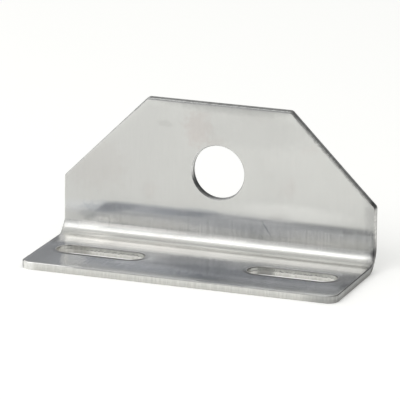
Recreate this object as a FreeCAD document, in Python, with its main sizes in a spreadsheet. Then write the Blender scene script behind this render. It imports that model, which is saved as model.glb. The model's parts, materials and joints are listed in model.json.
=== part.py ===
import FreeCAD, Part
import math
import os

import Sketcher

# One folded sheet: an upright leg at the back and a flat flange that runs forward from
# its foot. X is the length along the fold, -Y the front of the flange and +Z up. The
# origin is the middle of the rectangle that the bracket covers on what it stands on.

NODE = "angle_bracket"

DRIVING_SIZES = {
    "sheet_thickness": (3.0, "thickness of the sheet everywhere"),
    "bracket_length": (120.0, "length along the fold"),
    "overall_height": (56.5, "underside of the flange to the top of the leg"),
    "overall_depth": (46.5, "back of the leg to the front of the flange"),
    "inner_bend_radius": (5.0, "radius on the inside of the fold"),
    "corner_cut": (32.5, "each way, the 45 degree cuts at the top of the leg"),
    "leg_corner_radius": (1.6, "rounding of the leg's outline where the cuts begin and end"),
    "flange_corner_radius": (4.0, "rounding of the two front corners of the flange"),
    "cable_hole_diameter": (20.0, "round hole through the leg"),
    "cable_hole_height": (31.0, "underside of the flange to the axis of that hole"),
    "slot_width": (10.0, "width of each slot through the flange"),
    "slot_length": (33.5, "end to end length of each slot"),
    "slot_spacing": (73.5, "distance between the middles of the two slots"),
    "slot_from_front": (21.0, "front edge of the flange to the middle line of the slots"),
    "edge_round": (0.45, "round on every cut edge, left by deburring"),
}

RIGHT_ANGLE = math.pi / 2
SHARP_TURN = math.radians(30)
LEAST_CUT = 0.01


def fill_sheet(document):
    """Write the driving sizes into a spreadsheet, one aliased cell each."""
    sheet = document.addObject("Spreadsheet::Sheet", "sizes")
    for row, (alias, (value, meaning)) in enumerate(DRIVING_SIZES.items(), start=1):
        sheet.set(f"A{row}", alias)
        sheet.set(f"B{row}", str(value))
        sheet.set(f"C{row}", meaning)
        sheet.setAlias(f"B{row}", alias)
    document.recompute()
    return sheet


def new_sketch(body, name, plane_role):
    """Add a sketch to the body on one of its own origin planes."""
    sketch = body.newObject("Sketcher::SketchObject", name)
    plane = next(item for item in body.Origin.OriginFeatures if item.Role == plane_role)
    sketch.AttachmentSupport = [(plane, "")]
    sketch.MapMode = "FlatFace"
    return sketch


def constrain(sketch, kind, *where):
    """Add one geometric constraint."""
    sketch.addConstraint(Sketcher.Constraint(kind, *where))


def dimension(sketch, name, expression, kind, *where):
    """Add one named dimension whose value follows the spreadsheet."""
    value = float(sketch.evalExpression(expression))
    index = sketch.addConstraint(Sketcher.Constraint(kind, *where, value))
    sketch.renameConstraint(index, name)
    sketch.setExpression(f"Constraints.{name}", expression)


def settle(sketch):
    """Solve a sketch and check that its sizes leave nothing free."""
    sketch.Document.recompute()
    if sketch.solve() != 0 or not sketch.FullyConstrained:
        raise RuntimeError(f"{sketch.Label} is not fully constrained")


def require_solid(feature, before=None):
    """Recompute, and check for one valid solid that is smaller than the one before."""
    feature.Document.recompute()
    shape = feature.Shape
    if shape.isNull() or not shape.isValid() or len(shape.Solids) != 1:
        raise RuntimeError(f"{feature.Label} did not give one valid solid")
    if before is not None and shape.Volume > before.Shape.Volume - LEAST_CUT:
        raise RuntimeError(f"{feature.Label} took nothing off")
    return feature


def face_normal(face, point):
    """Outward normal of a face at the place nearest to a point."""
    return face.normalAt(*face.Surface.parameter(point))


def sharp_edges(shape, wanted):
    """Names of the wanted edges where the two faces meet at a real corner."""
    names = []
    for number, edge in enumerate(shape.Edges, start=1):
        faces = shape.ancestorsOfType(edge, Part.Face)
        if len(faces) != 2 or not wanted(edge):
            continue
        middle = edge.valueAt((edge.FirstParameter + edge.LastParameter) / 2)
        turn = face_normal(faces[0], middle).getAngle(face_normal(faces[1], middle))
        if turn > SHARP_TURN:
            names.append(f"Edge{number}")
    return names


def runs_along(edge, axis):
    """True for a straight edge that is parallel to the axis."""
    return isinstance(edge.Curve, Part.Line) and edge.Curve.Direction.isParallel(axis, 1e-6)


def cut_through(body, name, sketch, before):
    """Cut a sketch through the sheet, both ways from its plane."""
    pocket = body.newObject("PartDesign::Pocket", name)
    pocket.Profile = sketch
    pocket.Type = "ThroughAll"
    pocket.Midplane = True
    return require_solid(pocket, before)


def mirror_across_middle(body, name, feature, before):
    """Repeat a cut on the other side of the bracket's middle plane."""
    mirrored = body.newObject("PartDesign::Mirrored", name)
    mirrored.Originals = [feature]
    middle = next(item for item in body.Origin.OriginFeatures if item.Role == "YZ_Plane")
    mirrored.MirrorPlane = (middle, [""])
    body.Tip = mirrored
    return require_solid(mirrored, before)


def round_edges(body, name, base, edges, expression):
    """Round the named edges of the feature before, by a size from the spreadsheet."""
    fillet = body.newObject("PartDesign::Fillet", name)
    fillet.Base = (base, edges)
    fillet.setExpression("Radius", expression)
    return require_solid(fillet, base)


def add_folded_strip(body, sheet):
    """The folded section, drawn from the side and padded along the fold."""
    sketch = new_sketch(body, "fold_section", "YZ_Plane")
    vector = FreeCAD.Vector
    normal = vector(0, 0, 1)
    thickness = sheet.sheet_thickness
    inner = sheet.inner_bend_radius
    outer = inner + thickness
    front, back, height = -sheet.overall_depth / 2, sheet.overall_depth / 2, sheet.overall_height
    centre = vector(back - outer, outer, 0)
    under, outside, behind, top, before, inside, over, nose = sketch.addGeometry([
        Part.LineSegment(vector(front, 0, 0), vector(back - outer, 0, 0)),
        Part.ArcOfCircle(Part.Circle(centre, normal, outer), -RIGHT_ANGLE, 0),
        Part.LineSegment(vector(back, outer, 0), vector(back, height, 0)),
        Part.LineSegment(vector(back, height, 0), vector(back - thickness, height, 0)),
        Part.LineSegment(vector(back - thickness, height, 0), vector(back - thickness, outer, 0)),
        Part.ArcOfCircle(Part.Circle(centre, normal, inner), -RIGHT_ANGLE, 0),
        Part.LineSegment(vector(back - outer, thickness, 0), vector(front, thickness, 0)),
        Part.LineSegment(vector(front, thickness, 0), vector(front, 0, 0)),
    ], False)
    constrain(sketch, "Tangent", under, 2, outside, 1)
    constrain(sketch, "Tangent", outside, 2, behind, 1)
    constrain(sketch, "Coincident", behind, 2, top, 1)
    constrain(sketch, "Coincident", top, 2, before, 1)
    constrain(sketch, "Tangent", before, 2, inside, 2)
    constrain(sketch, "Tangent", inside, 1, over, 1)
    constrain(sketch, "Coincident", over, 2, nose, 1)
    constrain(sketch, "Coincident", nose, 2, under, 1)
    constrain(sketch, "Coincident", inside, 3, outside, 3)
    constrain(sketch, "Horizontal", under)
    constrain(sketch, "Vertical", behind)
    constrain(sketch, "Horizontal", top)
    constrain(sketch, "Vertical", before)
    constrain(sketch, "Horizontal", over)
    constrain(sketch, "Vertical", nose)
    constrain(sketch, "PointOnObject", under, 1, -1)
    dimension(sketch, "front", "sizes.overall_depth / 2", "DistanceX", under, 1, -1, 1)
    dimension(sketch, "depth", "sizes.overall_depth", "DistanceX", under, 1, behind, 2)
    dimension(sketch, "height", "sizes.overall_height", "DistanceY", under, 1, behind, 2)
    dimension(sketch, "thickness", "sizes.sheet_thickness", "DistanceY", nose, 2, nose, 1)
    dimension(sketch, "bend", "sizes.inner_bend_radius", "Radius", inside)
    settle(sketch)
    strip = body.newObject("PartDesign::Pad", "folded_strip")
    strip.Profile = sketch
    strip.Midplane = True
    strip.setExpression("Length", "sizes.bracket_length")
    return require_solid(strip)


def add_corner_cuts(body, sheet, before):
    """The two 45 degree cuts that narrow the leg towards its top."""
    sketch = new_sketch(body, "corner_outline", "XZ_Plane")
    vector = FreeCAD.Vector
    side, top, cut = sheet.bracket_length / 2, sheet.overall_height, sheet.corner_cut
    along, down, slope = sketch.addGeometry([
        Part.LineSegment(vector(side - cut, top, 0), vector(side, top, 0)),
        Part.LineSegment(vector(side, top, 0), vector(side, top - cut, 0)),
        Part.LineSegment(vector(side, top - cut, 0), vector(side - cut, top, 0)),
    ], False)
    constrain(sketch, "Coincident", along, 2, down, 1)
    constrain(sketch, "Coincident", down, 2, slope, 1)
    constrain(sketch, "Coincident", slope, 2, along, 1)
    constrain(sketch, "Horizontal", along)
    constrain(sketch, "Vertical", down)
    constrain(sketch, "Equal", along, down)
    dimension(sketch, "side", "sizes.bracket_length / 2", "DistanceX", -1, 1, down, 1)
    dimension(sketch, "top", "sizes.overall_height", "DistanceY", -1, 1, down, 1)
    dimension(sketch, "cut", "sizes.corner_cut", "DistanceX", along, 1, along, 2)
    settle(sketch)
    right = cut_through(body, "corner_cut_right", sketch, before)
    return mirror_across_middle(body, "corner_cut_left", right, right)


def add_cable_hole(body, sheet, before):
    """The round hole on the middle line of the leg."""
    sketch = new_sketch(body, "cable_hole_centre", "XZ_Plane")
    centre = FreeCAD.Vector(0, sheet.cable_hole_height, 0)
    circle = Part.Circle(centre, FreeCAD.Vector(0, 0, 1), sheet.cable_hole_diameter / 2)
    ring = sketch.addGeometry(circle, False)
    constrain(sketch, "PointOnObject", ring, 3, -2)
    dimension(sketch, "height", "sizes.cable_hole_height", "DistanceY", -1, 1, ring, 3)
    dimension(sketch, "width", "sizes.cable_hole_diameter", "Diameter", ring)
    settle(sketch)
    hole = body.newObject("PartDesign::Hole", "cable_hole")
    hole.Profile = sketch
    hole.DepthType = "ThroughAll"
    hole.ThreadType = "None"
    hole.Midplane = True
    hole.setExpression("Diameter", "sizes.cable_hole_diameter")
    return require_solid(hole, before)


def add_slots(body, sheet, before):
    """The pair of adjustment slots through the flange, lengthwise along the fold."""
    sketch = new_sketch(body, "slot_outline", "XY_Plane")
    vector = FreeCAD.Vector
    normal = vector(0, 0, 1)
    radius = sheet.slot_width / 2
    reach = sheet.slot_length / 2 - radius
    middle = sheet.slot_spacing / 2
    front = -sheet.overall_depth / 2
    line = front + sheet.slot_from_front
    right_centre = vector(middle + reach, line, 0)
    left_centre = vector(middle - reach, line, 0)
    offset = vector(0, radius, 0)
    rear, right_end, fore, left_end = sketch.addGeometry([
        Part.LineSegment(right_centre + offset, left_centre + offset),
        Part.ArcOfCircle(Part.Circle(right_centre, normal, radius), -RIGHT_ANGLE, RIGHT_ANGLE),
        Part.LineSegment(left_centre - offset, right_centre - offset),
        Part.ArcOfCircle(Part.Circle(left_centre, normal, radius), RIGHT_ANGLE, 3 * RIGHT_ANGLE),
    ], False)
    constrain(sketch, "Tangent", rear, 1, right_end, 2)
    constrain(sketch, "Tangent", right_end, 1, fore, 2)
    constrain(sketch, "Tangent", fore, 1, left_end, 2)
    constrain(sketch, "Tangent", left_end, 1, rear, 2)
    constrain(sketch, "Horizontal", fore)
    constrain(sketch, "Equal", right_end, left_end)
    flange_front = sketch.addGeometry(
        Part.LineSegment(vector(0, front, 0), vector(sheet.bracket_length / 2, front, 0)), True)
    constrain(sketch, "Horizontal", flange_front)
    constrain(sketch, "PointOnObject", flange_front, 1, -2)
    far_rule = "(sizes.slot_spacing + sizes.slot_length - sizes.slot_width) / 2"
    near_rule = "(sizes.slot_spacing - sizes.slot_length + sizes.slot_width) / 2"
    dimension(sketch, "front", "sizes.overall_depth / 2", "DistanceY", flange_front, 1, -1, 1)
    dimension(sketch, "side", "sizes.bracket_length / 2", "DistanceX", -1, 1, flange_front, 2)
    dimension(sketch, "line", "sizes.slot_from_front", "DistanceY", flange_front, 1, right_end, 3)
    dimension(sketch, "far_end", far_rule, "DistanceX", -1, 1, right_end, 3)
    dimension(sketch, "near_end", near_rule, "DistanceX", -1, 1, left_end, 3)
    dimension(sketch, "end_radius", "sizes.slot_width / 2", "Radius", right_end)
    settle(sketch)
    right = cut_through(body, "slot_right", sketch, before)
    return mirror_across_middle(body, "slot_left", right, right)


def round_outline(body, sheet, before):
    """Round the flange's front corners, then the leg's corners at the cuts."""
    side = sheet.bracket_length / 2
    bend_top = sheet.inner_bend_radius + sheet.sheet_thickness
    upright, forward = FreeCAD.Vector(0, 0, 1), FreeCAD.Vector(0, 1, 0)

    def front_corner(edge):
        place = edge.CenterOfMass
        return runs_along(edge, upright) and place.y < 0 and abs(place.x) > side - 1

    def leg_corner(edge):
        return runs_along(edge, forward) and edge.CenterOfMass.z > bend_top

    names = sharp_edges(before.Shape, front_corner)
    flange = round_edges(body, "flange_corners", before, names, "sizes.flange_corner_radius")
    names = [f"Edge{number}" for number, edge in enumerate(flange.Shape.Edges, start=1)
             if leg_corner(edge)]
    return round_edges(body, "leg_corners", flange, names, "sizes.leg_corner_radius")


def round_cut_edges(body, before):
    """Take the sharpness off the outline, the hole and the slots, on both faces."""
    names = sharp_edges(before.Shape, lambda edge: True)
    return round_edges(body, "deburred_edges", before, names, "sizes.edge_round")


def check_document(document):
    """Stop if any object of the document failed to build."""
    document.recompute()
    for item in document.Objects:
        if {"Invalid", "Error"} & set(item.State):
            raise RuntimeError(f"{item.Label} failed: {item.State}")


def build_bracket(document, sheet):
    """The whole bracket as one body."""
    body = document.addObject("PartDesign::Body", NODE)
    body.Label = NODE
    strip = add_folded_strip(body, sheet)
    cut = add_corner_cuts(body, sheet, strip)
    drilled = add_cable_hole(body, sheet, cut)
    slotted = add_slots(body, sheet, drilled)
    rounded = round_outline(body, sheet, slotted)
    body.Tip = round_cut_edges(body, rounded)
    body.Placement = FreeCAD.Placement()
    return body


def main():
    document = FreeCAD.newDocument("bracket")
    sheet = fill_sheet(document)
    body = build_bracket(document, sheet)
    check_document(document)
    if body.Shape.isNull() or not body.Shape.isValid():
        raise RuntimeError("the bracket's shape is not valid")
    os.makedirs("parts", exist_ok=True)
    body.Shape.exportStep(f"parts/{body.Label}.step")
    box = body.Shape.optimalBoundingBox(False, False)
    print(f"{body.Label}: {box.XLength:.2f} x {box.YLength:.2f} x {box.ZLength:.2f} mm,"
          f" {body.Shape.Volume:.0f} mm3, {len(body.Shape.Faces)} faces")


main()
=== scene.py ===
import json
import logging
import math
from dataclasses import dataclass, field
from enum import Enum

import bmesh
import bpy
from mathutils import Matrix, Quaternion, Vector


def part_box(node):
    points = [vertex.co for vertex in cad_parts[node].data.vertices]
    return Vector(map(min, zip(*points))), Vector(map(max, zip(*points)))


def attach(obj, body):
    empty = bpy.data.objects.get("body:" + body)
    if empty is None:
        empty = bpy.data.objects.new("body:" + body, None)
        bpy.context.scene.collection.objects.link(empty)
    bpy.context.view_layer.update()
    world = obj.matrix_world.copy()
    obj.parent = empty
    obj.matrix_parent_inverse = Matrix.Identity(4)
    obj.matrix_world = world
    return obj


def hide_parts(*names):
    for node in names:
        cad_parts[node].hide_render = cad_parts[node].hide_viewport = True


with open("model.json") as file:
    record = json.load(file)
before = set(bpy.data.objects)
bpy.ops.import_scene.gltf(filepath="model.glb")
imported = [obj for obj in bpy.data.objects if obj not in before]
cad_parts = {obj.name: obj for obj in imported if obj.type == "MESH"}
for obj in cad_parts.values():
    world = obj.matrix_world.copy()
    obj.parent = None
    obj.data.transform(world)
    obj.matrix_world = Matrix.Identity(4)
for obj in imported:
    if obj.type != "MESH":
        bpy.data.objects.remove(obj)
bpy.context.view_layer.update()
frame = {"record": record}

log = logging.getLogger("angle_bracket")

MM = 0.001
NODE = "angle_bracket"
BODY = "root"
BLANK_UNIT = 0.1
THICKNESS_MM = 3.0
MIDDLE = (0.4, 0.6)

Mesh = bmesh.types.BMesh
Socket = bpy.types.NodeSocket
Sockets = bpy.types.bpy_prop_collection
Pair = tuple[float, float]
Point = tuple[float, float, float]
Tone = tuple[float, float, float]

# Where a passage starts and ends, and then what it gives there if that isn't 0 and 1.
Passage = tuple[float, ...]


class Zone(Enum):
    """Which finish a face of the bracket carries, as its material index."""

    ROLLED = 0
    SLIT_EDGE = 1
    SHEARED_EDGE = 2
    HOLE_WALL = 3
    SLOT_WALL = 4


class Attribute(Enum):
    """Names of the data that the sheet's mesh carries for its finishes."""

    BLANK = "blank"
    RIM = "rim"
    LEVEL = "level"
    EDGE = "edge"
    OPENING = "opening"


class Level(Enum):
    """Share of the thickness above which a mark shows: 0 is outside the fold, 1 inside it."""

    EVERY = -1.0
    INNER_FACE = 0.4
    UPPER_WALL = 0.55
    INNER_RIM = 0.8


def mount(name: str) -> dict:
    """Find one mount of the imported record: its place is in metres, its sizes in millimetres."""
    return next(m for m in frame["record"]["mounts"] if m["name"] == name)


def eased(share: float) -> float:
    """Let a share begin and end gently, and keep it between 0 and 1."""
    share = min(1.0, max(0.0, share))
    return share * share * (3 - 2 * share)


@dataclass(frozen=True)
class SheetSizes:
    """Real sizes of the folded sheet, in metres, in the frame of the CAD model."""

    length: float
    front: float
    back: float
    height: float
    hole_radius: float
    hole_height: float
    slot_radius: float
    slot_length: float
    slot_spacing: float
    slot_line: float
    thickness: float = THICKNESS_MM * MM
    inner_bend: float = 5.0 * MM
    corner_cut: float = 32.5 * MM
    leg_corner: float = 1.6 * MM
    flange_corner: float = 4.0 * MM

    @classmethod
    def from_frame(cls) -> "SheetSizes":
        """Read the outer sizes off the CAD node and the openings off its mounts.

        Returns:
            The bracket's sizes.
        """
        low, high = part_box(NODE)
        hole, slots = mount("cable_hole"), mount("flange_slots")
        return cls(
            length=high.x - low.x,
            front=low.y,
            back=high.y,
            height=high.z,
            hole_radius=hole["dims"]["r_mm"] * MM,
            hole_height=hole["pos_m"][2],
            slot_radius=slots["dims"]["hole_r_mm"] * MM,
            slot_length=slots["dims"]["slot_length_mm"] * MM,
            slot_spacing=slots["dims"]["spacing_x_mm"] * MM,
            slot_line=slots["pos_m"][1],
        )

    @property
    def outer_bend(self) -> float:
        """Radius on the outside of the fold."""
        return self.inner_bend + self.thickness

    @property
    def flange_flat(self) -> float:
        """Flat part of the flange, from its front edge to where the bend begins."""
        return self.back - self.outer_bend - self.front

    @property
    def bend_length(self) -> float:
        """Length of blank that the bend takes up, along the sheet's neutral layer."""
        neutral = 0.42
        return (self.inner_bend + neutral * self.thickness) * math.pi / 2

    @property
    def leg_start(self) -> float:
        """Distance along the blank at which the straight leg begins."""
        return self.flange_flat + self.bend_length

    @property
    def blank_width(self) -> float:
        """Width of the flat blank, from the flange's front edge to the leg's top."""
        return self.leg_start + self.height - self.outer_bend

    @property
    def hole_line(self) -> float:
        """Distance along the blank to the middle of the hole."""
        return self.leg_start + self.hole_height - self.outer_bend


@dataclass(frozen=True)
class Rim:
    """How a cut edge turns over from the sheet's face: a quarter ellipse, then a long ease."""

    width: float
    depth: float
    steps: int
    ease: tuple[float, ...]

    def angles(self) -> list[float]:
        """Angles of the quarter ellipse's points, from the cut inwards."""
        return [math.pi / 2 * step / self.steps for step in range(self.steps + 1)]

    def insets(self) -> list[float]:
        """Widths of the successive rings, from the cut inwards."""
        places = [self.width * (1 - math.cos(angle)) for angle in self.angles()]
        return [after - before for before, after in zip(places, places[1:])] + list(self.ease)

    def lifts(self) -> list[float]:
        """How far the outer line of each ring stands off the face, from the cut inwards."""
        turned = [self.depth * (1 - math.sin(angle)) for angle in self.angles()]
        return turned + [0.0] * (len(self.ease) - 1)


@dataclass(frozen=True)
class Droop:
    """How the punched side of the sheet sinks towards a cut."""

    reach: float
    depth: float

    def at(self, distance: float) -> float:
        """How far the face has sunk at a distance from the cut."""
        return self.depth * max(0.0, 1 - distance / self.reach) ** 2


@dataclass
class FoldedSheet:
    """The whole bracket: a punched blank with rolled rims, folded once."""

    sizes: SheetSizes
    rim: Rim = Rim(width=0.38 * MM, depth=0.38 * MM, steps=4,
                   ease=(0.37 * MM, 0.40 * MM, 0.40 * MM))
    outline_droop: Droop = Droop(reach=3.0 * MM, depth=0.22 * MM)
    slot_burr: Droop = Droop(reach=1.1 * MM, depth=-0.06 * MM)
    side_camber: Droop = Droop(reach=16.0 * MM, depth=0.16 * MM)
    droop_cuts: tuple[float, ...] = (2.2 * MM, 3.0 * MM)
    camber_cuts: tuple[float, ...] = (5.0 * MM, 9.0 * MM, 12.0 * MM, 16.0 * MM)
    wall_rows: int = 3
    bend_steps: int = 28
    patch: float = 7.5 * MM
    hole_segments: int = 112
    corner_segments: int = 10
    slot_segments: int = 14
    weld: float = 0.002 * MM
    on_plane: float = 1e-7
    bulge: float = 0.42 * MM
    draw_in: float = 0.12 * MM
    bulge_reach: float = 3.2 * MM
    bm: Mesh = field(default_factory=bmesh.new)

    def outline(self) -> None:
        """Draw the outline and its openings, x along the fold and y across it, and fill it."""
        s, bm = self.sizes, self.bm
        half, top, cut = s.length / 2, s.blank_width, s.corner_cut
        leg_corner = s.leg_corner * math.tan(math.pi / 8)
        bm.verts.layers.float.new(Attribute.RIM.value)
        self.rounded_polygon({
            (-half, 0.0): s.flange_corner,
            (half, 0.0): s.flange_corner,
            (half, top - cut): leg_corner,
            (half - cut, top): leg_corner,
            (cut - half, top): leg_corner,
            (-half, top - cut): leg_corner,
        }, self.corner_segments)
        ring = bmesh.ops.create_circle(bm, cap_ends=False, radius=s.hole_radius,
                                       segments=self.hole_segments)
        bmesh.ops.translate(bm, verts=ring["verts"], vec=(0.0, s.hole_line, 0.0))
        for side in (-1, 1):
            self.slot_outline(side)
        bmesh.ops.remove_doubles(bm, verts=bm.verts[:], dist=self.weld)
        bmesh.ops.triangle_fill(bm, use_beauty=True, use_dissolve=False, edges=bm.edges[:],
                                normal=(0.0, 0.0, 1.0))

    def rounded_polygon(self, corners: dict[Pair, float], segments: int) -> None:
        """Add a closed line whose corners are rounded.

        Args:
            corners: Each corner's place, with how far back its rounding starts.
            segments: Steps in each rounding.
        """
        bm = self.bm
        made = [(bm.verts.new((x, y, 0.0)), start) for (x, y), start in corners.items()]
        bm.faces.new([vert for vert, _ in made])
        for vert, start in made:
            bmesh.ops.bevel(bm, geom=[vert], offset=start, offset_type="OFFSET",
                            segments=segments, profile=0.5, affect="VERTICES",
                            material=-1, clamp_overlap=False)
        bmesh.ops.delete(bm, geom=bm.faces[:], context="FACES_ONLY")

    def slot_outline(self, side: int) -> None:
        """Add the closed line of one slot.

        Args:
            side: 1 for the slot on the right of the middle, and -1 for the one on the left.
        """
        s = self.sizes
        middle, line = side * s.slot_spacing / 2, s.slot_line - s.front
        reach, radius = s.slot_length / 2, s.slot_radius
        just_short = 0.9999
        places = [(middle + reach * along, line + radius * across)
                  for along, across in ((-1, -1), (1, -1), (1, 1), (-1, 1))]
        self.rounded_polygon({place: radius * just_short for place in places},
                             self.slot_segments)

    def turn_rim(self) -> None:
        """Turn the underside's rim up towards the cut, ring by ring."""
        bm = self.bm
        layer = bm.verts.layers.float[Attribute.RIM.value]
        rings = []
        region = bm.faces[:]
        for width in self.rim.insets():
            made = bmesh.ops.inset_region(bm, faces=region, use_boundary=True,
                                          use_even_offset=True, thickness=width)["faces"]
            rings.append(made)
            known = {face for ring in rings for face in ring}
            region = [face for face in bm.faces if face not in known]
        inner = {vert for face in region for vert in face.verts}
        for ring, lift in zip(reversed(rings), reversed(self.rim.lifts())):
            verts = {vert for face in ring for vert in face.verts} - inner
            inner |= verts
            for vert in verts:
                vert.co.z = lift
                vert[layer] = lift / self.rim.depth

    @staticmethod
    def open_parts(made: list) -> tuple[list, list]:
        """Pick the vertices and the open edges out of what an operator made."""
        edges = [item for item in made if isinstance(item, bmesh.types.BMEdge) and item.is_boundary]
        return [item for item in made if isinstance(item, bmesh.types.BMVert)], edges

    def close(self) -> None:
        """Close the blank with the underside's mirror image on top, and the cut wall."""
        bm = self.bm
        made = bmesh.ops.duplicate(bm, geom=self.everything())["geom"]
        verts, edges = self.open_parts(made)
        bmesh.ops.scale(bm, verts=verts, vec=(1.0, 1.0, -1.0))
        bmesh.ops.translate(bm, verts=verts, vec=(0.0, 0.0, self.sizes.thickness))
        drop = (2 * self.rim.depth - self.sizes.thickness) / self.wall_rows
        for _ in range(self.wall_rows):
            made = bmesh.ops.extrude_edge_only(bm, edges=edges)["geom"]
            verts, edges = self.open_parts(made)
            bmesh.ops.translate(bm, verts=verts, vec=(0.0, 0.0, drop))
        bmesh.ops.remove_doubles(bm, verts=bm.verts[:], dist=self.weld)
        bmesh.ops.recalc_face_normals(bm, faces=bm.faces[:])

    def cut_patches(self) -> None:
        """Divide the blank so that it can bend, and evenly over its flat parts."""
        s = self.sizes
        bend = [s.flange_flat + s.bend_length * step / self.bend_steps
                for step in range(self.bend_steps + 1)]
        across = [self.patch * step for step in range(1, int(s.blank_width / self.patch) + 1)]
        flat = [y for y in across if not bend[0] - MM < y < bend[-1] + MM]
        for y in bend + flat:
            self.slice((0.0, y, 0.0), (0.0, 1.0, 0.0))
        columns = int(s.length / 2 / self.patch)
        for step in range(-columns, columns + 1):
            self.slice((self.patch * step, 0.0, 0.0), (1.0, 0.0, 0.0))
        for place, inwards in self.outline_sides():
            for distance in self.droop_cuts:
                self.slice(place + inwards * distance, inwards)
        for side in (-1, 1):
            for distance in self.camber_cuts:
                self.slice((side * (s.length / 2 - distance), 0.0, 0.0), (1.0, 0.0, 0.0))

    def outline_sides(self) -> list[tuple[Vector, Vector]]:
        """List the outline's straight sides.

        Returns:
            A point on each side and the side's inward direction.
        """
        s = self.sizes
        half, top = s.length / 2, s.blank_width
        slope = math.sqrt(0.5)
        sides = [(Vector((0.0, 0.0, 0.0)), Vector((0.0, 1.0, 0.0))),
                 (Vector((0.0, top, 0.0)), Vector((0.0, -1.0, 0.0)))]
        for side in (-1, 1):
            sides.append((Vector((side * half, 0.0, 0.0)), Vector((-side, 0.0, 0.0))))
            sides.append((Vector((side * half, top - s.corner_cut, 0.0)),
                          Vector((-side * slope, -slope, 0.0))))
        return sides

    def outline_distance(self, place: Vector) -> float:
        """Distance of a place on the blank from the nearest side of its outline."""
        flat = Vector((place.x, place.y, 0.0))
        return max(0.0, min((flat - start).dot(inwards)
                            for start, inwards in self.outline_sides()))

    def opening_distance(self, place: Vector) -> float:
        """Measure how far a place is from the rim of the nearest opening.

        Args:
            place: The place on the flat blank.

        Returns:
            The distance, which is 0 inside an opening.
        """
        s = self.sizes
        to_hole = math.hypot(place.x, place.y - s.hole_line) - s.hole_radius
        straight = s.slot_length / 2 - s.slot_radius
        beyond = max(0.0, abs(abs(place.x) - s.slot_spacing / 2) - straight)
        to_slot = math.hypot(beyond, place.y - s.slot_line + s.front) - s.slot_radius
        return max(0.0, min(to_hole, to_slot))

    def sink_edges(self) -> None:
        """Store each vertex's level and distances, and let the punched side sink at every cut."""
        s, bm = self.sizes, self.bm
        layers = bm.verts.layers.float
        level = layers.new(Attribute.LEVEL.value)
        edge = layers.new(Attribute.EDGE.value)
        opening = layers.new(Attribute.OPENING.value)
        for vert in bm.verts:
            share = vert.co.z / s.thickness
            vert[level] = share
            vert[edge] = self.outline_distance(vert.co) / MM
            vert[opening] = self.opening_distance(vert.co) / MM
            sunk = self.outline_droop.at(vert[edge] * MM)
            bent = (vert.co.y - s.flange_flat) / s.bend_length
            if bent < 0.0:
                sunk += self.slot_burr.at(vert[opening] * MM)
            camber = self.side_camber.at(s.length / 2 - abs(vert.co.x))
            vert.co.z -= sunk * share + camber * eased(2 * bent - 1)

    def everything(self) -> list:
        """List all vertices, edges and faces."""
        return self.bm.verts[:] + self.bm.edges[:] + self.bm.faces[:]

    def slice(self, place: tuple, normal: tuple) -> None:
        """Cut every face along one plane, without taking anything away."""
        bmesh.ops.bisect_plane(self.bm, geom=self.everything(), dist=self.on_plane,
                               plane_co=place, plane_no=normal)

    def set_zones(self) -> None:
        """Give the sheet's faces and its cut walls their finishes."""
        bm = self.bm
        rim = bm.verts.layers.float[Attribute.RIM.value]
        for face in bm.faces:
            face.smooth = True
            turned = sum(vert[rim] for vert in face.verts) / len(face.verts)
            face.material_index = self.zone(face, turned).value

    def zone(self, face: bmesh.types.BMFace, turned: float) -> Zone:
        """Tell which finish one face of the flat blank has.

        Args:
            face: The face.
            turned: How far it has turned over to a cut: 0 on the sheet's face, 1 on a wall.

        Returns:
            The face's zone.
        """
        on_face, flat_share = 0.03, 0.9
        if turned < on_face and abs(face.normal.z) > flat_share:
            return Zone.ROLLED
        middle = face.calc_center_median()
        if self.opening_distance(middle) < self.rim.width:
            return Zone.HOLE_WALL if middle.y > self.sizes.leg_start else Zone.SLOT_WALL
        inwards = min(self.outline_sides(), key=lambda side: (middle - side[0]).dot(side[1]))[1]
        return Zone.SLIT_EDGE if inwards.y > flat_share else Zone.SHEARED_EDGE

    def lay_coordinates(self) -> None:
        """Store each corner's place on the flat blank, for what follows the surface."""
        layer = self.bm.loops.layers.uv.new(Attribute.BLANK.value)
        for loop in (loop for face in self.bm.faces for loop in face.loops):
            place = loop.vert.co
            loop[layer].uv = (place.x / BLANK_UNIT, place.y / BLANK_UNIT)

    def fold(self) -> None:
        """Bend the blank to a right angle and stand it in the CAD model's place."""
        s = self.sizes
        for vert in self.bm.verts:
            x, along, level = vert.co
            turned = (along - s.flange_flat) / s.bend_length
            if turned <= 0.0:
                vert.co = (x, s.front + along, level)
            elif turned >= 1.0:
                vert.co = (x, s.back - level, s.outer_bend + along - s.leg_start)
            else:
                angle, radius = turned * math.pi / 2, s.outer_bend - level
                spread = self.end_spread(x, turned, level)
                vert.co = (x + spread, s.back - s.outer_bend + radius * math.sin(angle),
                           s.outer_bend - radius * math.cos(angle))

    def end_spread(self, x: float, turned: float, level: float) -> float:
        """Work out how far folding pushes the sheet outwards at the ends of the bend.

        Args:
            x: Place along the fold.
            turned: Share of the bend, from 0 at the flange to 1 at the leg.
            level: Height over the outside of the fold.

        Returns:
            The shift along the fold: outwards inside the bend, inwards outside it.
        """
        s = self.sizes
        inside = 2 * level / s.thickness - 1
        near_end = math.exp((abs(x) - s.length / 2) / self.bulge_reach)
        hump = math.sin(math.pi * turned) ** 2
        shift = inside * (self.bulge if inside > 0.0 else self.draw_in)
        return shift * near_end * hump * math.copysign(1.0, x)

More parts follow.
